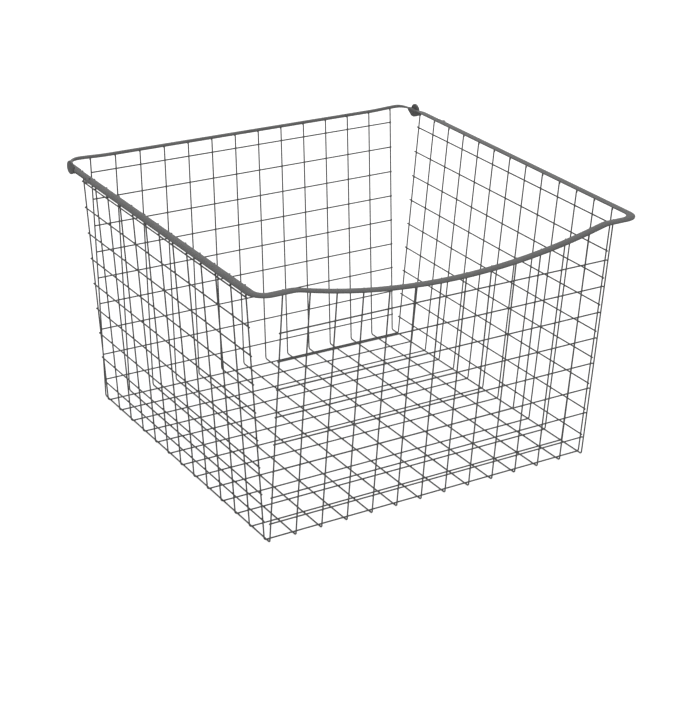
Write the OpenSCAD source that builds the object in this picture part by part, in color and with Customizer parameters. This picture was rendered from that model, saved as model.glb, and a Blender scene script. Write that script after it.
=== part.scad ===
// Wire basket with leaning mesh walls, hung from a flattened rim that slides in runners.
// Millimetres. +Z is up, the scooped front faces -Y, and the wires under the floor rest on Z = 0.

/* [Rim] */
// Width over the outer edges of the two side rails
rail_span = 450.2; // [420:0.1:480]
// Depth from the front edge of the rim to the back of the rear rod
rim_depth = 436.2; // [410:0.1:470]
// Height of the rim's centre line above the underside
rim_height = 277.6; // [240:0.1:310]
// Width of the flattened strip
strip_w = 9.7; // [8:0.1:11]
// Thickness of the flattened strip at its middle
strip_t = 2.7; // [2.2:0.1:3.2]
// Radius of the strip's rounded edges
strip_edge_r = 0.7; // [0.5:0.05:0.9]
// Radius of the strip's centre line round each front corner
front_corner_r = 15; // [12:0.5:22]
// Diameter of the round rod across the back
rod_d = 3.2; // [2.8:0.1:3.6]
// Radius of the rod's centre line round each rear corner
rear_corner_r = 20.7; // [16:0.1:26]
// How far the rod's inner side lies inboard of the strip's inner edge
rod_inset = 0.4; // [0:0.1:0.8]

/* [Front scoop] */
// Depth of the scoop, measured down the leaning front
scoop_depth = 24.4; // [16:0.1:30]
// Radius of the scoop's long arc
scoop_r = 676; // [600:1:760]
// Radius of the turn at each end of the scoop
scoop_blend_r = 35; // [20:1:50]

/* [Rail end and stop] */
// Distance from the back of the rim to the rear end of a rail
rail_end_set = 26.5; // [25:0.1:32]
// Length of the taper near the rear end of a rail, which clears the roller
taper_l = 8; // [6:0.1:16]
// Width that the taper leaves at the end of a rail
taper_tip_w = 3.2; // [2.6:0.1:3.3]
// Distance from the rear end of a rail to the middle of its notch
notch_set = 38.6; // [30:0.1:50]
// Width of the notch along the rail
notch_w = 4; // [3:0.1:5]
// Depth of the notch
notch_depth = 2.4; // [1.8:0.1:3]
// How far a rail is cut back behind its notch
rear_step = 1.7; // [1:0.1:2.2]
// Distance from the middle of the notch to the middle of the stop tooth
tooth_set = 8; // [7:0.1:10]
// Length of the stop tooth along the rail
tooth_l = 6.6; // [5:0.1:8]
// How far the stop tooth stands out
tooth_out = 2; // [1.4:0.1:2.6]
// Thickness of the stop tooth
tooth_t = 1.2; // [0.8:0.05:1.3]
// Distance from the middle of the notch to the small hole
hole_set = 4; // [3:0.1:6]
// Length of the small hole along the rail
hole_l = 3.6; // [2.8:0.1:4]
// Width of the small hole
hole_w = 2.4; // [1.6:0.1:2.6]

/* [Mesh] */
// Diameter of the mesh wire
wire_d = 1.6; // [1.2:0.1:2]
// Radius of a wire's centre line where the floor folds up into a wall
bend_r = 2.4; // [2:0.1:4]
// Spacing of the long wires, which run from front to back
long_pitch = 29.6; // [26:0.1:36]
// Distance from the left fold to the first long wire
long_first = 4.6; // [4:0.1:12]
// Spacing of the cross wires, which run from left to right
cross_pitch = 30; // [26:0.1:36]
// Distance from the front fold to the first cross wire
cross_first = 3.5; // [3.5:0.1:12]
// How far past the far fold a mesh's last wire may lie
edge_allowance = 1; // [0:0.1:1.5]
// Lean of the left and right walls
side_lean = 4.3; // [2:0.1:6]
// Lean of the front wall, and tilt of the rim strip
front_lean = 4.7; // [2:0.1:6]
// Lean of the back wall
back_lean = 4; // [2:0.1:6]

/* [Rows] */
// Spacing of the rows up the front and back walls
end_row_pitch = 30.2; // [26:0.1:36]
// Distance up the front and back walls from the fold to the first row
end_row_first = 19.4; // [14:0.1:28]
// How far the front and back rows run past their outermost uprights
end_row_over = 1; // [0.8:0.1:1.2]
// Spacing of the rows up the left and right walls
side_row_pitch = 30; // [26:0.1:36]
// Distance up the left wall from the fold to the first row
left_row_first = 25.3; // [14:0.1:28]
// Distance up the right wall from the fold to the first row
right_row_first = 19.8; // [14:0.1:28]
// How far the left and right rows run past their outermost uprights
side_row_over = 2.5; // [1:0.1:3]
// Least distance from a top row to the rim's centre line
top_margin = 8; // [6:0.5:10]

/* [Rollers] */
// Outer diameter of a roller
roller_d = 15; // [13:0.1:17]
// Width of a roller
roller_w = 2.6; // [2.4:0.1:3.2]
// Radius of a roller's rounded rim edges
roller_edge_r = 0.8; // [0.4:0.1:1]
// Depth of the recess in a roller's outer face
recess_depth = 1; // [0.9:0.1:1.1]
// Diameter of the recess in a roller's outer face
recess_d = 8.2; // [7.8:0.1:9]
// Diameter of a hub's drum
hub_d = 12.8; // [11:0.1:13.5]
// Length of a hub's drum
hub_l = 6.5; // [5.5:0.1:7.5]
// Radius of a hub's rounded edges
hub_edge_r = 0.6; // [0.3:0.1:0.9]
// Wall of a hub outboard of the rod
hub_wall = 0.45; // [0.4:0.05:1]
// How far the middle of a hub lies below the rim's centre line
hub_drop = 0.8; // [0.5:0.1:1.2]
// Diameter of a hub's stub axle
axle_d = 4.5; // [4:0.1:5]
// Diameter of the spigot that carries the retaining cap
spigot_d = 3; // [2.4:0.1:3.2]
// Diameter of a retaining cap
cap_d = 7; // [6.4:0.1:7.2]
// Thickness of a retaining cap
cap_t = 0.7; // [0.5:0.05:0.75]

/* [Clearances] */
// Gap between two wires at a weld
weld_gap = 0.05; // [0.02:0.01:0.1]
// Radial clearance of a roller on its axle
running_clear = 0.05; // [0.03:0.01:0.08]
// Clearance of pieces that are pressed together
seat_clear = 0.05; // [0.02:0.01:0.08]
// Side clearance of a roller at its hub and at its cap
side_clear = 0.1; // [0.08:0.01:0.2]
// Gap between a hub and the end of its rail
hub_gap = 0.2; // [0.1:0.05:0.5]
// Gap between a roller and the taper of its rail
roller_gap = 0.3; // [0.2:0.05:0.5]

/* [Hidden] */
// Extra length of a cutting body past the face that it cuts
cut_past = 1;
// Extra sweep of a bend past the plane where it is cut to meet the next piece
sweep_past = 1;
// How far the scoop's surface is drawn inside that of the straight runs, so that their ends overlap
joint_step = 0.02;
// Flats that draw the strip's crowned faces and rounded edges
crown_steps = 8;
edge_steps = 6;
wire_fn = 32;
ring_fn = 64;
scoop_fn = 1440;

// A length given to a hundredth, as on a drawing
function hundredth(v) = round(100 * v) / 100;

// Mesh planes: long wires pass under the cross wires, so the two centre lines are two layers apart
layer = (wire_d + weld_gap) / 2;
long_z = wire_d / 2;
mesh_z = long_z + layer;
cross_z = mesh_z + layer;

// Rim strip: its outward reach from the centre line, with the tilt, and its place
strip_reach = (strip_w / 2 - strip_edge_r) * cos(front_lean) + strip_edge_r;
strip_x = hundredth(rail_span / 2 - strip_reach);
strip_y = hundredth(rim_depth / 2 - strip_reach);
corner_x = hundredth(strip_x - front_corner_r);
inner_edge_z = rim_height + strip_w / 2 * sin(front_lean);

// Rear rod
rod_x = strip_x - strip_reach + rod_d / 2 - rod_inset;
rod_y = rim_depth / 2 - rod_d / 2;

// Folds: each wall's mesh plane is led down from the rim, which its uprights touch
rise = rim_height - mesh_z;
upright_out = layer + wire_d / 2 + weld_gap;
upright_in = wire_d / 2 + weld_gap - layer;
side_fold = strip_x - (upright_in + strip_w / 2) / cos(side_lean) - rise * tan(side_lean);
front_fold = strip_y - (upright_out + strip_w / 2) / cos(front_lean) - rise * tan(front_lean);
back_fold = rod_y - (upright_out + rod_d / 2) / cos(back_lean) - rise * tan(back_lean);

// Where a wire's bend starts: its straight centre lines would meet one setback further out, at a
// corner that lies outside the fold for the outer layer (side 1) and inside it for the inner (side -1)
function setback(lean) = bend_r * tan((90 - lean) / 2);
function bend_start(fold, lean, side) =
    hundredth(fold + side * layer * (1 - sin(lean)) / cos(lean) - setback(lean));
// Length of the straight upright above a bend, for a tip at height h over the floor run
function upright_l(h, lean) = (h - bend_r * (1 - sin(lean))) / cos(lean);

// Mesh wires along the floor
function wires_in(span, first, pitch) = floor((span - first + edge_allowance) / pitch) + 1;
long_count = wires_in(2 * side_fold, long_first, long_pitch);
cross_count = wires_in(front_fold + back_fold, cross_first, cross_pitch);
function long_x(i) = -side_fold + long_first + (i - 1) * long_pitch;
function cross_y(i) = -front_fold + cross_first + (i - 1) * cross_pitch;

// Rows up the walls
function rows_in(height, first, pitch) = floor((height - first - top_margin) / pitch) + 1;
front_rows = rows_in(rise / cos(front_lean) - scoop_depth, end_row_first, end_row_pitch);
back_rows = rows_in(rise / cos(back_lean), end_row_first, end_row_pitch);
left_rows = rows_in(rise / cos(side_lean), left_row_first, side_row_pitch);
right_rows = rows_in(rise / cos(side_lean), right_row_first, side_row_pitch);

// Scoop: a long arc that meets a small arc at each end, drawn in the plane of the front wall
blend_x = sqrt(pow(scoop_r + scoop_blend_r, 2) - pow(scoop_r - scoop_depth + scoop_blend_r, 2));
scoop_angle = atan2(blend_x, scoop_r - scoop_depth + scoop_blend_r);
meet_x = scoop_r * sin(scoop_angle);
scoop_end = hundredth(blend_x);
function scoop_fall(x) = abs(x) >= blend_x ? 0
    : abs(x) >= meet_x ? scoop_blend_r - sqrt(pow(scoop_blend_r, 2) - pow(blend_x - abs(x), 2))
    : sqrt(pow(scoop_r, 2) - x * x) - (scoop_r - scoop_depth);

// Rail end: behind the taper a short tongue runs on beside the roller and stops at the hub
rail_end = hundredth(rim_depth / 2 - rail_end_set);
tongue_l = roller_d / 2 + roller_gap - hub_d / 2 - hub_gap;

// Hub, roller and cap, along the hub's axis
hub_y = rail_end + hub_gap + hub_d / 2;
hub_z = rim_height - hub_drop;
hub_face = rod_x + rod_d / 2 + seat_clear + hub_wall;
roller_face = hub_face + side_clear;
axle_l = side_clear + roller_w - recess_depth + side_clear;

function two_digits(i) = str(i < 10 ? "0" : "", i);
LONG = [for (i = [1:long_count]) str("long_wire_", two_digits(i))];
CROSS = [for (i = [1:cross_count]) str("cross_wire_", two_digits(i))];
FRONT_ROW = [for (i = [1:front_rows]) str("front_row_", two_digits(i))];
BACK_ROW = [for (i = [1:back_rows]) str("back_row_", two_digits(i))];

// Cross-section of the rim strip: a flat oval with rounded edges, wide along X
module strip_section(inset = 0) {
    half_w = strip_w / 2 - strip_edge_r;
    half_t = strip_t / 2;
    crown_r = (half_w * half_w + half_t * half_t - strip_edge_r * strip_edge_r) / (strip_t - 2 * strip_edge_r);
    flank = asin(half_w / (crown_r - strip_edge_r));
    crown = [for (k = [0:crown_steps]) let (a = flank * (2 * k / crown_steps - 1), r = crown_r - inset)
        [r * sin(a), r * cos(a) - crown_r + half_t]];
    edge = [for (k = [1:edge_steps - 1]) let (a = (90 - flank) * (1 - 2 * k / edge_steps), r = strip_edge_r - inset)
        [half_w + r * cos(a), r * sin(a)]];
    polygon([for (side = [1, -1]) for (p = concat(crown, edge)) side * p]);
}

// The same section with its outer edge low, as it lies square to the leaning front
module tilted_section() {
    rotate(-front_lean) strip_section();
}

// Plan of what is cut from a rail, seen from its rear end: the narrower rear stretch with its
// taper, the notch and the small hole
module rail_cuts() {
    edge = strip_w / 2;
    polygon([
        [edge - rear_step, -notch_set],
        [edge - rear_step, -tongue_l - taper_l],
        [taper_tip_w - edge, -tongue_l],
        [taper_tip_w - edge, cut_past],
        [edge + cut_past, cut_past],
        [edge + cut_past, -notch_set]
    ]);
    translate([edge - notch_depth + notch_w / 2, -notch_set]) {
        circle(d = notch_w, $fn = wire_fn);
        translate([0, -notch_w / 2]) square([notch_w, notch_w]);
    }
    translate([0, -notch_set - hole_set]) {
        for (end = [-1, 1])
            translate([0, end * (hole_l - hole_w) / 2]) circle(d = hole_w, $fn = wire_fn);
        square([hole_w, hole_l - hole_w], center = true);
    }
}

// Stop tooth on a rail's outer edge, sloped at its front so that it rides over the runner's lip
module stop_tooth() {
    edge = strip_w / 2;
    translate([0, -notch_set - tooth_set, 0]) linear_extrude(height = tooth_t, center = true)
        polygon([
            [edge - tooth_out, -tooth_l / 2],
            [edge, -tooth_l / 2],
            [edge + tooth_out, 0],
            [edge + tooth_out, tooth_l / 2],
            [edge - tooth_out, tooth_l / 2]
        ]);
}

// Right rail, from the front corner to its tapered rear end
module rail() {
    translate([strip_x, rail_end, rim_height]) {
        difference() {
            rotate([90, 0, 0]) linear_extrude(height = rail_end + strip_y - front_corner_r) tilted_section();
            translate([0, 0, -strip_t]) linear_extrude(height = 2 * strip_t) rail_cuts();
        }
        rotate([0, front_lean, 0]) stop_tooth();
    }
}

// Right front corner of the strip, turned about a vertical axis
module front_corner() {
    translate([corner_x, front_corner_r - strip_y, rim_height]) rotate([0, 0, -90])
        rotate_extrude(angle = 90, $fn = 4 * ring_fn)
            translate([front_corner_r, 0]) tilted_section();
}

// Straight run of the front between the scoop and the right corner
module front_straight() {
    translate([corner_x, -strip_y, rim_height]) rotate([90, 0, -90])
        linear_extrude(height = corner_x - scoop_end) tilted_section();
}

// A length of strip bent on edge about the Z axis, from the +Y side towards -X
module edge_bend(r) {
    rotate([0, 0, 90]) rotate_extrude(angle = scoop_angle + sweep_past, $fn = scoop_fn)
        translate([r, 0]) rotate(90) strip_section(joint_step);
}

// Right half of the scoop, in the plane of the front wall: half of the long arc, cut at the middle,
// and the turn at its end, cut where the straight run starts
module scoop_half() {
    intersection() {
        translate([0, -strip_y, rim_height]) rotate([90 + front_lean, 0, 0])
            translate([0, scoop_r - scoop_depth, 0]) rotate([0, 0, scoop_angle]) {
                mirror([0, 1, 0]) edge_bend(scoop_r);
                translate([0, -scoop_r - scoop_blend_r, 0]) mirror([1, 0, 0]) edge_bend(scoop_blend_r);
            }
        translate([0, -rim_depth, 0]) cube([scoop_end, rim_depth, 2 * rim_height]);
    }
}

module rim_strip() {
    color([0.42, 0.43, 0.44]) union()
        for (side = [0, 1])
            mirror([side, 0, 0]) {
                scoop_half();
                front_straight();
                front_corner();
                rail();
            }
}

// Path of the rear rod, drawn at a given diameter from the rails' ends round both corners
module rod_path(d, start) {
    corner_y = rod_y - rear_corner_r;
    corner_x = rod_x - rear_corner_r;
    translate([-corner_x, rod_y, rim_height]) rotate([0, 90, 0])
        cylinder(d = d, h = 2 * corner_x, $fn = wire_fn);
    for (side = [0, 1])
        mirror([side, 0, 0]) {
            translate([corner_x, corner_y, rim_height])
                rotate_extrude(angle = 90, $fn = 4 * ring_fn)
                    translate([rear_corner_r, 0]) circle(d = d, $fn = wire_fn);
            translate([rod_x, start, rim_height]) rotate([-90, 0, 0])
                cylinder(d = d, h = corner_y - start, $fn = wire_fn);
        }
}

module rear_rod() {
    color([0.4, 0.41, 0.42]) rod_path(rod_d, rail_end + weld_gap);
}

// The bend at the right end of a floor run and the upright above it
module upright(start, lean, length) {
    translate([start, 0, bend_r]) {
        intersection() {
            rotate([90, 0, 0]) rotate([0, 0, -90]) rotate_extrude(angle = 90, $fn = ring_fn)
                translate([bend_r, 0]) circle(d = wire_d, $fn = wire_fn);
            rotate([0, lean, 0]) translate([-wire_d, -wire_d, -2 * bend_r])
                cube([wire_d + 2 * bend_r, 2 * wire_d, 2 * bend_r]);
        }
        rotate([0, lean, 0]) translate([bend_r, 0, 0])
            cylinder(d = wire_d, h = length, $fn = wire_fn);
    }
}

// A wire bent up at both ends, in the XZ plane; each end is [bend start, lean, upright length]
module bent_wire(left, right) {
    mirror([1, 0, 0]) upright(left[0], left[1], left[2]);
    upright(right[0], right[1], right[2]);
    translate([-left[0], 0, 0]) rotate([0, 90, 0])
        cylinder(d = wire_d, h = left[0] + right[0], $fn = wire_fn);
}

// Long wire: its front upright ends at the scoop, its back upright at the rod's middle
module long_wire(i) {
    x = long_x(i);
    front_l = upright_l(inner_edge_z - long_z, front_lean) - scoop_fall(x);
    back_l = upright_l(rim_height - long_z, back_lean);
    color([0.33, 0.34, 0.35])
        translate([x, 0, long_z]) rotate([0, 0, 90])
            bent_wire([bend_start(front_fold, front_lean, 1), front_lean, front_l],
                [bend_start(back_fold, back_lean, 1), back_lean, back_l]);
}

// Cross wire: its uprights end at the middle of the rails' inner edges
module cross_wire(i) {
    side = [bend_start(side_fold, side_lean, -1), side_lean, upright_l(inner_edge_z - cross_z, side_lean)];
    color([0.36, 0.37, 0.38])
        translate([0, cross_y(i), cross_z]) bent_wire(side, side);
}

// A straight row wire from a to b
module row_wire(a, b) {
    run = b - a;
    color([0.35, 0.36, 0.37])
        translate(a) rotate([0, acos(run.z / norm(run)), atan2(run.y, run.x)])
            cylinder(d = wire_d, h = norm(run), $fn = wire_fn);
}

// Row of the front or back wall, inside the uprights, up a distance s from the fold
module end_row(fold, lean, direction, s) {
    y = direction * (fold + s * sin(lean) - layer * cos(lean));
    z = mesh_z + s * cos(lean) + layer * sin(lean);
    row_wire([long_x(1) - end_row_over, y, z], [long_x(long_count) + end_row_over, y, z]);
}

// Row of the left or right wall, outside the uprights, up a distance s from the fold
module side_row(direction, s) {
    x = direction * (side_fold + s * sin(side_lean) + layer * cos(side_lean));
    z = mesh_z + s * cos(side_lean) - layer * sin(side_lean);
    row_wire([x, cross_y(1) - side_row_over, z], [x, cross_y(cross_count) + side_row_over, z]);
}

module front_row(i) {
    end_row(front_fold, front_lean, -1, end_row_first + (i - 1) * end_row_pitch);
}

module back_row(i) {
    end_row(back_fold, back_lean, 1, end_row_first + (i - 1) * end_row_pitch);
}

module left_rows() {
    for (i = [1:left_rows]) side_row(-1, left_row_first + (i - 1) * side_row_pitch);
}

module right_rows() {
    for (i = [1:right_rows]) side_row(1, right_row_first + (i - 1) * side_row_pitch);
}

// Half section of a disc or drum with rounded edges, for turning about Y
module turned_half(r, w, edge_r) {
    square([r - edge_r, w]);
    translate([0, edge_r]) square([r, w - 2 * edge_r]);
    for (y = [edge_r, w - edge_r])
        translate([r - edge_r, y]) circle(r = edge_r, $fn = wire_fn);
}

// Places what is drawn along Z on the right hub's axis, a distance x out from the middle plane
module on_hub_axis(x) {
    translate([x, hub_y, hub_z]) rotate([0, 90, 0]) children();
}

// Right hub: a drum pressed on the rod just behind the rail's end, with a stepped stub axle
module hub() {
    color([0.3, 0.31, 0.32]) union() {
        difference() {
            on_hub_axis(hub_face - hub_l)
                rotate_extrude($fn = ring_fn) turned_half(hub_d / 2, hub_l, hub_edge_r);
            rod_path(rod_d + 2 * seat_clear, rail_end - cut_past);
        }
        on_hub_axis(hub_face) cylinder(d = axle_d, h = axle_l, $fn = ring_fn);
        on_hub_axis(hub_face + axle_l) cylinder(d = spigot_d, h = cap_t, $fn = ring_fn);
    }
}

// Right roller: turns on the stub axle, with a recess for the cap
module roller() {
    color([0.32, 0.32, 0.33]) on_hub_axis(roller_face)
        difference() {
            rotate_extrude($fn = 2 * ring_fn) turned_half(roller_d / 2, roller_w, roller_edge_r);
            translate([0, 0, -cut_past])
                cylinder(d = axle_d + 2 * running_clear, h = roller_w + 2 * cut_past, $fn = ring_fn);
            translate([0, 0, roller_w - recess_depth])
                cylinder(d = recess_d, h = recess_depth + cut_past, $fn = ring_fn);
        }
}

// Right retaining cap, pressed on the spigot against the axle's shoulder
module cap() {
    color([0.45, 0.45, 0.46]) on_hub_axis(hub_face + axle_l)
        difference() {
            cylinder(d = cap_d, h = cap_t, $fn = ring_fn);
            translate([0, 0, -cut_past])
                cylinder(d = spigot_d + 2 * seat_clear, h = cap_t + 2 * cut_past, $fn = ring_fn);
        }
}

module right_hub() { hub(); }
module left_hub() { mirror([1, 0, 0]) hub(); }
module right_roller() { roller(); }
module left_roller() { mirror([1, 0, 0]) roller(); }
module right_cap() { cap(); }
module left_cap() { mirror([1, 0, 0]) cap(); }

rim_strip();
rear_rod();
for (i = [1:long_count])
    long_wire(i);
for (i = [1:cross_count])
    cross_wire(i);
for (i = [1:front_rows])
    front_row(i);
for (i = [1:back_rows])
    back_row(i);
left_rows();
right_rows();
left_hub();
right_hub();
left_roller();
right_roller();
left_cap();
right_cap();
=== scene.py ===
import math

import bmesh
import bpy
from mathutils import Matrix, Vector


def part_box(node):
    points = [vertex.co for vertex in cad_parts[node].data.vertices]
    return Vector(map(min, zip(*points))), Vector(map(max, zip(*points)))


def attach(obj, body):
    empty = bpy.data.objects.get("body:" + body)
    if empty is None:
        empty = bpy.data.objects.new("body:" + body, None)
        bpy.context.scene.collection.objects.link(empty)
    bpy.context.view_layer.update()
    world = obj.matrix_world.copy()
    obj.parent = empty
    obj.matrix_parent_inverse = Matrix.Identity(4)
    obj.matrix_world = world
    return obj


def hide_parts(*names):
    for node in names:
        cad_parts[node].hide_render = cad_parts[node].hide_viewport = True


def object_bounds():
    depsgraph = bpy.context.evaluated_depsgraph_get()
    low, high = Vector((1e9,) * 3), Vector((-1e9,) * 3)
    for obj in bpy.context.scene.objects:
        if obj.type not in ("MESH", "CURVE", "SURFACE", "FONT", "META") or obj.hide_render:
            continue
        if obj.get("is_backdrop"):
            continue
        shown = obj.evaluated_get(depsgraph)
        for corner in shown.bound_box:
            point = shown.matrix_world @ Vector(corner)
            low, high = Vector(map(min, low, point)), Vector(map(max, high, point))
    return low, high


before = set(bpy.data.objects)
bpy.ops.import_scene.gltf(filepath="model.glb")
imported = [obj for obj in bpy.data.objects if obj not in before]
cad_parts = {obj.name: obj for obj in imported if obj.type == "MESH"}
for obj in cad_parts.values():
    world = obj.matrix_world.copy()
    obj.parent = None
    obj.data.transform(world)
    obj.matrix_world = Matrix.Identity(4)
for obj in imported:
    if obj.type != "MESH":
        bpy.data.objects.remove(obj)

scene = bpy.context.scene
scene.view_settings.view_transform = "Standard"
cad_low, cad_high = (list(v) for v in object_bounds())


# Camera: where the photograph was taken from, for a frame of 700 x 701 pixels
FRAME_W, FRAME_H = 700, 701
FOCAL_PX = 1934.41
OPTICAL_AXIS_PX = (373.38, 329.62)
AZIMUTH, ELEVATION, ROLL = -0.57038, 0.41508, 0.02698
ASIDE, ALOFT, DISTANCE = 0.03406, 0.10563, 2.13529
AIM = Vector((0.0024, -0.0005, 0.0016))
SENSOR_W = 36
CLIP_NEAR, CLIP_FAR = 0.05, 50


def make_camera():
    back = Vector((math.sin(AZIMUTH) * math.cos(ELEVATION),
                   -math.cos(AZIMUTH) * math.cos(ELEVATION),
                   math.sin(ELEVATION)))
    right = (-back).cross(Vector((0, 0, 1))).normalized()
    up = right.cross(-back)
    x_axis = math.cos(ROLL) * right + math.sin(ROLL) * up
    y_axis = -math.sin(ROLL) * right + math.cos(ROLL) * up
    place = AIM + back * DISTANCE + right * ASIDE + up * ALOFT
    data = bpy.data.cameras.new("camera")
    data.sensor_fit = "HORIZONTAL"
    data.sensor_width = SENSOR_W
    data.lens = SENSOR_W * FOCAL_PX / FRAME_W
    data.shift_x = ((FRAME_W - 1) / 2 - OPTICAL_AXIS_PX[0]) / FRAME_W
    data.shift_y = (OPTICAL_AXIS_PX[1] - (FRAME_H - 1) / 2) / FRAME_W
    data.clip_start, data.clip_end = CLIP_NEAR, CLIP_FAR
    camera = bpy.data.objects.new("camera", data)
    scene.collection.objects.link(camera)
    turn = Matrix((x_axis, y_axis, back)).transposed().to_4x4()
    camera.matrix_world = Matrix.Translation(place) @ turn
    scene.camera = camera


make_camera()


# Materials
class Nodes:
    """Short way to build a node tree."""

    def __init__(self, tree):
        self.tree = tree

    def add(self, kind, inputs=(), **settings):
        node = self.tree.nodes.new(kind)
        for key, value in settings.items():
            setattr(node, key, value)
        for key, value in dict(inputs).items():
            if hasattr(value, "links"):
                self.tree.links.new(value, node.inputs[key])
            else:
                node.inputs[key].default_value = value
        return node

    def grey_ramp(self, fac, low, high, start, end):
        """A ramp from one grey at start to another at end."""
        ramp = self.add("ShaderNodeValToRGB", {"Fac": fac})
        for element, position, grey in zip(ramp.color_ramp.elements, (start, end), (low, high)):
            element.position = position
            element.color = (grey, grey, grey, 1)
        return ramp.outputs["Color"]

    def seen(self):
        """1 for what the camera sees, straight or by a mirror or through glass, and 0 for light."""
        path = self.add("ShaderNodeLightPath").outputs
        either = self.add("ShaderNodeMath", {0: path["Is Camera Ray"], 1: path["Is Glossy Ray"]},
                          operation="MAXIMUM")
        return self.add("ShaderNodeMath", {0: either.outputs[0], 1: path["Is Transmission Ray"]},
                        operation="MAXIMUM").outputs[0]


def new_material(name):
    mat = bpy.data.materials.new(name)
    mat.use_nodes = True
    mat.node_tree.nodes.clear()
    return mat, Nodes(mat.node_tree)


CLOUD_SCALE, SPECK_SCALE, GRAIN_SCALE = 60.0, 420.0, 1400.0
CLOUD_START, CLOUD_END, CLOUD_TINT = 0.3, 0.75, 0.1
SPECK_START, SPECK_END = 0.6, 0.72
GRAIN_DEPTH = 0.00012
RUB_PALER, RUB_SMOOTHER = 1.9, 0.2
COAT_SPECULAR = 0.15


def coat(name, grey, rough, peel, scuffs):
    """Dark coat: a cloudy tint, fine orange peel in bump, and small paler scuffs, rubbed smoother."""
    mat, n = new_material(name)
    place = n.add("ShaderNodeTexCoord").outputs["Object"]
    cloud = n.add("ShaderNodeTexNoise", {"Vector": place, "Scale": CLOUD_SCALE, "Detail": 4.0})
    speck = n.add("ShaderNodeTexNoise", {"Vector": place, "Scale": SPECK_SCALE,
                                         "Detail": 5.0, "Roughness": 0.7})
    dark, light = grey * (1 - CLOUD_TINT), grey * (1 + CLOUD_TINT)
    tint = n.grey_ramp(cloud.outputs["Fac"], dark, light, CLOUD_START, CLOUD_END)
    rub = n.grey_ramp(speck.outputs["Fac"], 0.0, scuffs, SPECK_START, SPECK_END)
    pale = grey * RUB_PALER
    worn = n.add("ShaderNodeMixRGB", {"Fac": rub, "Color1": tint, "Color2": (pale, pale, pale, 1)})
    gloss = n.add("ShaderNodeMapRange", {"Value": rub, "From Max": 1.0, "To Min": rough,
                                         "To Max": rough - RUB_SMOOTHER})
    grain = n.add("ShaderNodeTexNoise", {"Vector": place, "Scale": GRAIN_SCALE, "Detail": 2.0})
    bump = n.add("ShaderNodeBump", {"Height": grain.outputs["Fac"], "Strength": peel,
                                    "Distance": GRAIN_DEPTH})
    shader = n.add("ShaderNodeBsdfPrincipled", {"Base Color": worn.outputs["Color"],
                                                "Roughness": gloss.outputs["Result"],
                                                "Normal": bump.outputs["Normal"],
                                                "Specular IOR Level": COAT_SPECULAR})
    n.add("ShaderNodeOutputMaterial", {"Surface": shader.outputs["BSDF"]})
    return mat


# Greys differ a little between the parts: the rod is the palest and the wires are the darkest. The
# rod's paler grey is painted light: the rod has the strip's coat, set paler to stand in for light on
# its shaded side.
strip_coat = coat("strip_coat", 0.117, 0.6, peel=0.35, scuffs=0.5)
# Painted light: the rod's grey is paler than its real coat, so that its shaded side renders lighter
rod_coat_painted_paler = coat("rod_coat_painted_paler", 0.195, 0.6, peel=0.35, scuffs=0.4)
wire_coat = coat("wire_coat", 0.113, 0.6, peel=0.3, scuffs=0.3)
moulded_grey = coat("moulded_grey", 0.16, 0.6, peel=0.15, scuffs=0.15)
block_grey = coat("block_grey", 0.128, 0.6, peel=0.15, scuffs=0.15)
cap_steel = coat("cap_steel", 0.14, 0.45, peel=0.1, scuffs=0.6)


def finish_of(node):
    if node == "rim_strip":
        return strip_coat
    if node.endswith("cap"):
        return cap_steel
    if node.endswith(("hub", "roller")):
        return moulded_grey
    return wire_coat


for node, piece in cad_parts.items():
    if not piece.material_slots:
        piece.data.materials.append(wire_coat)
    for material_slot in piece.material_slots:
        material_slot.material = finish_of(node)


# Sizes of the mesh: repeated from part.scad where the frame doesn't give them
WIRE_R = 0.0008
LAYER = 0.000825
MESH_Z = 0.001625
SIDE_FOLD = 0.19462
SIDE_LEAN, FRONT_LEAN, BACK_LEAN = math.radians(4.3), math.radians(4.7), math.radians(4)
SIDE_PITCH = 0.030
SIDE_ROWS = 9
LEFT_ROW_FIRST, RIGHT_ROW_FIRST = 0.0253, 0.0198


def middle(node):
    low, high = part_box(node)
    return (low + high) / 2


def count_of(stem):
    return sum(name.startswith(stem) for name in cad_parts)


LONG_X = [middle(f"long_wire_{i + 1:02d}").x for i in range(count_of("long_wire"))]
CROSS_Y = [middle(f"cross_wire_{i + 1:02d}").y for i in range(count_of("cross_wire"))]


# Wires and rods drawn as tubes along a path, with their cut ends eased
TUBE_SIDES = 16
END_EASE = 0.00018
SMOOTH_BELOW = math.radians(40)


def tube_rings(path, radius):
    """Middles and radii of a tube's rings: one at each point, and a smaller one past each end."""
    first = (path[0] - path[1]).normalized()
    last = (path[-1] - path[-2]).normalized()
    spots = [(path[0] + first * END_EASE, radius - END_EASE), (path[0], radius)]
    spots += [(p, radius) for p in path[1:-1]]
    return spots + [(path[-1], radius), (path[-1] + last * END_EASE, radius - END_EASE)]


def add_tube(mesh, path, radius, heights=None):
    """Adds one closed tube to a bmesh. Heights squeeze it upright: one factor for each point."""
    spots = tube_rings([Vector(p) for p in path], radius)
    places = [p for p, _ in spots]
    heights = heights or [1.0] * len(path)
    heights = [heights[0], *heights, heights[-1]]
    across = None
    rings = []
    for i, (place, r) in enumerate(spots):
        ahead = (places[min(i + 1, len(places) - 1)] - places[max(i - 1, 0)]).normalized()
        if across is None:
            across = ahead.orthogonal().normalized()
        across = (across - ahead * across.dot(ahead)).normalized()
        over = ahead.cross(across)
        squeeze = Matrix.Diagonal((1, 1, heights[i]))
        angles = [2 * math.pi * k / TUBE_SIDES for k in range(TUBE_SIDES)]
        rings.append([mesh.verts.new(place + squeeze @ (across * math.cos(a) + over * math.sin(a)) * r)
                      for a in angles])
    for low, high in zip(rings, rings[1:]):
        for k in range(TUBE_SIDES):
            after = (k + 1) % TUBE_SIDES
            mesh.faces.new((low[k], low[after], high[after], high[k]))
    mesh.faces.new(list(reversed(rings[0])))
    mesh.faces.new(rings[-1])


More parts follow.
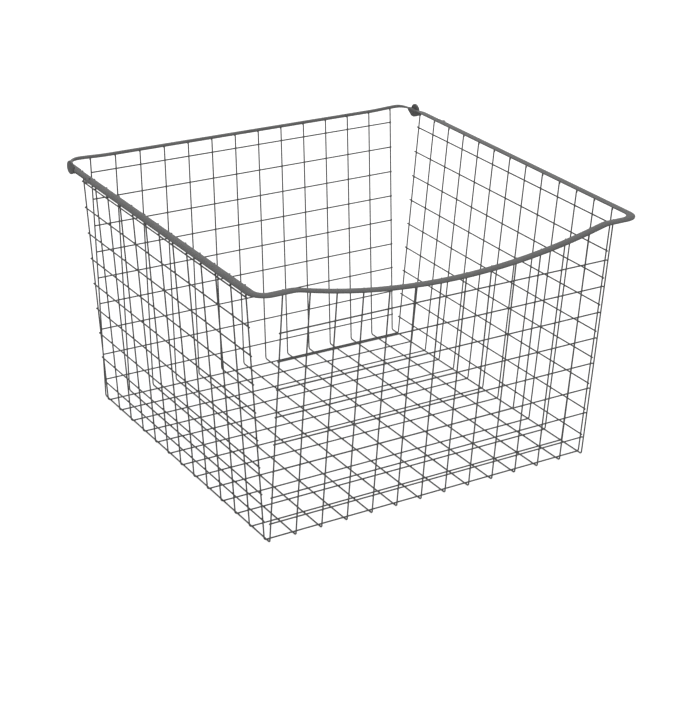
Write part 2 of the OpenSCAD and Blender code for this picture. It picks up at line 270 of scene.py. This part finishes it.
def piece_from(mesh, name, mat, body):
    """Turns a bmesh into a piece that rides on a body, with its sharp edges kept."""
    for face in mesh.faces:
        face.smooth = True
    for edge in mesh.edges:
        edge.smooth = edge.calc_face_angle(0) < SMOOTH_BELOW
    data = bpy.data.meshes.new(name)
    mesh.to_mesh(data)
    mesh.free()
    data.materials.append(mat)
    piece = bpy.data.objects.new(name, data)
    scene.collection.objects.link(piece)
    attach(piece, body)
    return piece


# Rows whose ends pass the outermost uprights as in the photograph, in place of the frame's
SIDE_OVER = {"left_rows": (0.0056, 0.0004), "right_rows": (0.0001, 0.0058)}
END_OVER = {"front_row": (0.0006, -0.0006), "back_row": (0.0008, 0.0001)}


def side_point(side, first, row):
    """Middle of a side wall's mesh plane at one row: distance out and height."""
    s = first + row * SIDE_PITCH
    return Vector((side * (SIDE_FOLD + s * math.sin(SIDE_LEAN)), 0, MESH_Z + s * math.cos(SIDE_LEAN)))


def side_normal(side):
    return Vector((side * math.cos(SIDE_LEAN), 0, -math.sin(SIDE_LEAN)))


def side_rows(node, side, first):
    front, rear = SIDE_OVER[node]
    mesh = bmesh.new()
    for row in range(SIDE_ROWS):
        place = side_point(side, first, row) + side_normal(side) * LAYER
        ends = [place + Vector((0, y, 0)) for y in (CROSS_Y[0] - front, CROSS_Y[-1] + rear)]
        add_tube(mesh, ends, WIRE_R)
    piece = piece_from(mesh, node + "_wires", wire_coat, "basket")
    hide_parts(node)


def end_rows(stem):
    left, right = END_OVER[stem]
    for i in range(count_of(stem)):
        node = f"{stem}_{i + 1:02d}"
        _, y, z = middle(node)
        mesh = bmesh.new()
        add_tube(mesh, [(LONG_X[0] - left, y, z), (LONG_X[-1] + right, y, z)], WIRE_R)
        piece = piece_from(mesh, node + "_wire", wire_coat, "basket")
        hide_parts(node)


side_rows("left_rows", -1, LEFT_ROW_FIRST)
side_rows("right_rows", 1, RIGHT_ROW_FIRST)
end_rows("front_row")
end_rows("back_row")


# Rear rod: round along the back, risen a little near its tight corners, and flattened past them
ROD_R, ROD_HIGHER = 0.002, 0.0002
ROD_CORNER_R, CORNER_STEPS = 0.013, 12
CORNER_RISE, RISE_LENGTH, RISE_STEPS = 0.0011, 0.035, 8
FLATTENED = 0.45


def smooth(t):
    """Eases from 0 to 1 without a kink at either end."""
    return t * t * (3 - 2 * t)


def rod_half():
    """Right half of the rod from the middle of the back: each point with its height factor."""
    low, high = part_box("rear_rod")
    frame_r = (high.z - low.z) / 2
    out, back, z = high.x - frame_r, high.y - ROD_R, low.z + frame_r + ROD_HIGHER
    turn_x, turn_y = out - ROD_CORNER_R, back - ROD_CORNER_R
    half = []
    for k in range(RISE_STEPS):
        t = k / RISE_STEPS
        half.append((turn_x - RISE_LENGTH * (1 - t), back, z + CORNER_RISE * smooth(t), 1.0))
    for k in range(CORNER_STEPS + 1):
        t = k / CORNER_STEPS
        turned = math.pi / 2 * t
        half.append((turn_x + ROD_CORNER_R * math.sin(turned), turn_y + ROD_CORNER_R * math.cos(turned),
                     z + CORNER_RISE * (1 - smooth(t)), 1 - (1 - FLATTENED) * smooth(t)))
    half.append((out, low.y, z, FLATTENED))
    return half


def rear_rod():
    right = rod_half()
    left = [(-x, y, z, height) for x, y, z, height in reversed(right)]
    whole = left + right
    mesh = bmesh.new()
    add_tube(mesh, [(x, y, z) for x, y, z, _ in whole], ROD_R, [height for *_, height in whole])
    # The rod's coat is painted paler, standing in for light on its shaded side
    piece = piece_from(mesh, "rear_rod_bent", rod_coat_painted_paler, "basket")
    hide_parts("rear_rod")


rear_rod()


# Moulded pieces at each rear corner: an end block with the roller's axle, and a domed roller cover
FRAME_HUB_LENGTH, AXLE_R = 0.0065, 0.00225
BLOCK_WIDTH, BLOCK_EDGE = 0.0036, 0.0004
BLOCK_TIP, BLOCK_HEEL = 0.0172, 0.0092
BLOCK_TOP, BLOCK_DEEP = 0.0022, 0.0062
NOSE_BACK, NOSE_DEEP = 0.01376, 0.00248
KEEL_FRONT, KEEL_REAR, HEEL_DEEP = 0.0043, 0.00092, 0.00062
CORNER_ROUND, ROUND_STEPS = 0.0012, 4
TURNED_SIDES = 48
COVER_R, COVER_RISE, COVER_SINK = 0.0069, 0.0008, 0.0001
COVER_STEPS = 8


def add_turned(mesh, profile, side, y, z):
    """Adds a closed turned form: profile is (distance out, radius), from the axis round to the axis."""
    starts, ends = [mesh.verts.new((side * x, y, z)) for x, _ in (profile[0], profile[-1])]
    angles = [2 * math.pi * k / TURNED_SIDES for k in range(TURNED_SIDES)]
    rings = [[mesh.verts.new((side * x, y + r * math.cos(a), z + r * math.sin(a))) for a in angles]
             for x, r in profile[1:-1]]
    for k in range(TURNED_SIDES):
        after = (k + 1) % TURNED_SIDES
        mesh.faces.new((starts, rings[0][after], rings[0][k]))
        mesh.faces.new((ends, rings[-1][k], rings[-1][after]))
        for one, two in zip(rings, rings[1:]):
            mesh.faces.new((one[k], one[after], two[after], two[k]))


def rounded(corners, radius):
    """Outline (y, z) with each corner turned into an arc."""
    outline = []
    for i, corner in enumerate(corners):
        here = Vector(corner)
        before = (Vector(corners[i - 1]) - here).normalized()
        after = (Vector(corners[(i + 1) % len(corners)]) - here).normalized()
        half = before.angle(after) / 2
        centre = here + (before + after).normalized() * radius / math.sin(half)
        start = (here + before * radius / math.tan(half) - centre).normalized()
        end = (here + after * radius / math.tan(half) - centre).normalized()
        outline += [centre + start.slerp(end, k / ROUND_STEPS) * radius for k in range(ROUND_STEPS + 1)]
    return outline


def add_block(mesh, side, face, y, z):
    """Adds the end block: flat sides, deepest near the axle, rising to both ends."""
    corners = [(-BLOCK_TIP, 0.0), (-NOSE_BACK, -NOSE_DEEP), (-KEEL_FRONT, -BLOCK_DEEP),
               (KEEL_REAR, -BLOCK_DEEP), (BLOCK_HEEL, -HEEL_DEEP),
               (BLOCK_HEEL, BLOCK_TOP), (-BLOCK_TIP, BLOCK_TOP)]
    outline = rounded(corners, CORNER_ROUND)
    rings = [[mesh.verts.new((side * x, y + p.x, z + p.y)) for p in outline]
             for x in (face - BLOCK_WIDTH, face)]
    sides = [mesh.faces.new(ring) for ring in rings]
    for k in range(len(outline)):
        after = (k + 1) % len(outline)
        mesh.faces.new((rings[0][k], rings[0][after], rings[1][after], rings[1][k]))
    rims = [edge for flat in sides for edge in flat.edges]
    bmesh.ops.bevel(mesh, geom=rims, offset=BLOCK_EDGE, segments=2, profile=0.5, affect="EDGES")


def knob(side, word):
    """The end block with its axle in place of a hub, and the cover that turns with the roller."""
    low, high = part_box(f"{word}_hub")
    y, z = (low.y + high.y) / 2, (low.z + high.z) / 2
    inner, tip = sorted((abs(low.x), abs(high.x)))
    face = inner + FRAME_HUB_LENGTH
    mesh = bmesh.new()
    add_block(mesh, side, face, y, z)
    root = face - BLOCK_WIDTH / 2
    add_turned(mesh, [(root, 0.0), (root, AXLE_R), (tip, AXLE_R), (tip, 0.0)], side, y, z)
    bmesh.ops.recalc_face_normals(mesh, faces=mesh.faces)
    piece = piece_from(mesh, f"{word}_end_block", block_grey, "basket")
    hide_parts(f"{word}_hub")
    low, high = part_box(f"{word}_roller")
    outer = max(abs(low.x), abs(high.x))
    cover = [(outer - COVER_SINK, 0.0), (outer - COVER_SINK, COVER_R)]
    angles = [math.pi / 2 * (1 - k / COVER_STEPS) for k in range(COVER_STEPS + 1)]
    cover += [(outer + COVER_RISE * math.cos(a), COVER_R * math.sin(a)) for a in angles]
    mesh = bmesh.new()
    add_turned(mesh, cover, side, y, z)
    bmesh.ops.recalc_face_normals(mesh, faces=mesh.faces)
    piece_from(mesh, f"{word}_roller_cover", moulded_grey, f"{word}_roller")


knob(-1, "left")
knob(1, "right")


# Weld beads: a flattened bead of metal under the coat at each crossing, and one at each tip
CROSSING_REACH, CROSSING_THICK = 0.00098, 0.0008
TIP_REACH, TIP_THICK = 0.0011, 0.00095
TIP_OUT, TIP_DROP, END_DEPTH = 0.0004, 0.0014, 0.0002
ROD_WELD_REACH, ROD_WELD_THICK = 0.0014, 0.0018


def crossings():
    """Each crossing's place, on the plane between the wires, and the plane's outward normal."""
    found = [(Vector((x, y, MESH_Z)), Vector((0, 0, 1))) for x in LONG_X[:-1] for y in CROSS_Y]
    for stem, side, lean in (("front_row", -1, FRONT_LEAN), ("back_row", 1, BACK_LEAN)):
        normal = Vector((0, side * math.cos(lean), -math.sin(lean)))
        for i in range(count_of(stem)):
            row = middle(f"{stem}_{i + 1:02d}")
            found += [(Vector((x, row.y, row.z)) + normal * LAYER, normal) for x in LONG_X]
    for side, first in ((-1, LEFT_ROW_FIRST), (1, RIGHT_ROW_FIRST)):
        for row in range(SIDE_ROWS):
            place = side_point(side, first, row)
            found += [(place + Vector((0, y, 0)), side_normal(side)) for y in CROSS_Y]
    return found


def tip(node, axis, side):
    """Middle of a wire's cut end, on one side of the basket."""
    here = [v.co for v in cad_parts[node].data.vertices if v.co[axis] * side > 0]
    top = max(p.z for p in here)
    end = [p for p in here if p.z > top - END_DEPTH]
    return sum(end, Vector()) / len(end)


def tips():
    """Places just under each upright's end, where it meets the rim, and the way out there."""
    found = []
    for stem, axis, leans in (("cross_wire", 0, (SIDE_LEAN, SIDE_LEAN)),
                              ("long_wire", 1, (FRONT_LEAN, BACK_LEAN))):
        for i in range(count_of(stem)):
            for side, lean in zip((-1, 1), leans):
                out = Vector((0, 0, -math.sin(lean)))
                out[axis] = side * math.cos(lean)
                place = tip(f"{stem}_{i + 1:02d}", axis, side)
                found.append((place + out * TIP_OUT - Vector((0, 0, TIP_DROP)), out))
    return found


def beads(name, places, reach, thick):
    """One piece of small flattened balls, each lying square to its normal."""
    ball = bmesh.new()
    bmesh.ops.create_icosphere(ball, subdivisions=2, radius=1.0)
    points = [v.co.copy() for v in ball.verts]
    faces = [[v.index for v in f.verts] for f in ball.faces]
    ball.free()
    mesh = bmesh.new()
    for place, normal in places:
        turn = normal.to_track_quat("Z", "Y").to_matrix()
        form = turn @ Matrix.Diagonal((reach, reach, thick))
        verts = [mesh.verts.new(place + form @ p) for p in points]
        for face in faces:
            mesh.faces.new([verts[i] for i in face])
    piece_from(mesh, name, wire_coat, "basket")


def rod_ends():
    """Where the rod's ends meet the strip, and the way along the rod."""
    low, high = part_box("rear_rod")
    radius = (high.z - low.z) / 2
    return [(Vector((side * (high.x - radius), low.y, low.z + radius)), Vector((0, 1, 0)))
            for side in (-1, 1)]


beads("crossing_welds", crossings(), CROSSING_REACH, CROSSING_THICK)
beads("tip_welds", tips(), TIP_REACH, TIP_THICK)
beads("rod_welds", rod_ends(), ROD_WELD_REACH, ROD_WELD_THICK)


# Floor and light
FLOOR_HALF = 6.0
FLOOR_GREY = 0.45
FLOOR_LIFT, FAR_LIFT = 0.8, 0.9
LIFT_START, LIFT_END = 0.6, 2.5
FLOOR_BELOW = 0.0002
SKY_LIGHT = 0.32
KEY_PLACE, KEY_TARGET = (1.4, 2.1, 3.1), (0, 0, 0.1)
KEY_SIZE, KEY_POWER = 2.2, 88
FILL_PLACE, FILL_TARGET = (-1.6, -2.6, 1.3), (0, 0, 0.15)
FILL_SIZE, FILL_POWER = 2.0, 32


def make_floor():
    mesh = bpy.data.meshes.new("floor")
    r = FLOOR_HALF
    mesh.from_pydata([(-r, -r, 0), (r, -r, 0), (r, r, 0), (-r, r, 0)], [], [(0, 1, 2, 3)])
    floor = bpy.data.objects.new("floor", mesh)
    scene.collection.objects.link(floor)
    floor.location.z = cad_low[2] - FLOOR_BELOW
    mat, n = new_material("floor_pale")
    matt = n.add("ShaderNodeBsdfDiffuse", {"Color": (FLOOR_GREY, FLOOR_GREY, FLOOR_GREY, 1)})
    place = n.add("ShaderNodeTexCoord").outputs["Object"]
    away = n.add("ShaderNodeVectorMath", {0: place}, operation="LENGTH").outputs["Value"]
    strength = n.add("ShaderNodeMapRange", {"Value": away, "From Min": LIFT_START, "From Max": LIFT_END,
                                            "To Min": FLOOR_LIFT, "To Max": FAR_LIFT})
    lift = n.add("ShaderNodeEmission", {"Color": (1, 1, 1, 1), "Strength": strength.outputs["Result"]})
    both = n.add("ShaderNodeAddShader", {0: matt.outputs[0], 1: lift.outputs[0]})
    mix = n.add("ShaderNodeMixShader", {0: n.seen(), 1: matt.outputs[0], 2: both.outputs[0]})
    n.add("ShaderNodeOutputMaterial", {"Surface": mix.outputs[0]})
    mesh.materials.append(mat)
    floor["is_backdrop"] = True


def make_world():
    world = bpy.data.worlds.new("studio")
    scene.world = world
    world.use_nodes = True
    world.node_tree.nodes.clear()
    n = Nodes(world.node_tree)
    light = n.add("ShaderNodeBackground", {"Color": (1, 1, 1, 1), "Strength": SKY_LIGHT})
    white = n.add("ShaderNodeBackground", {"Color": (1, 1, 1, 1), "Strength": 1.0})
    mix = n.add("ShaderNodeMixShader", {0: n.seen(), 1: light.outputs[0], 2: white.outputs[0]})
    n.add("ShaderNodeOutputWorld", {"Surface": mix.outputs[0]})


def soft_box(name, place, target, size, power):
    data = bpy.data.lights.new(name, "AREA")
    data.shape = "SQUARE"
    data.size = size
    data.energy = power
    lamp = bpy.data.objects.new(name, data)
    scene.collection.objects.link(lamp)
    lamp.location = place
    lamp.rotation_euler = (Vector(target) - Vector(place)).to_track_quat("-Z", "Y").to_euler()


make_floor()
make_world()
soft_box("key", KEY_PLACE, KEY_TARGET, KEY_SIZE, KEY_POWER)
soft_box("fill", FILL_PLACE, FILL_TARGET, FILL_SIZE, FILL_POWER)
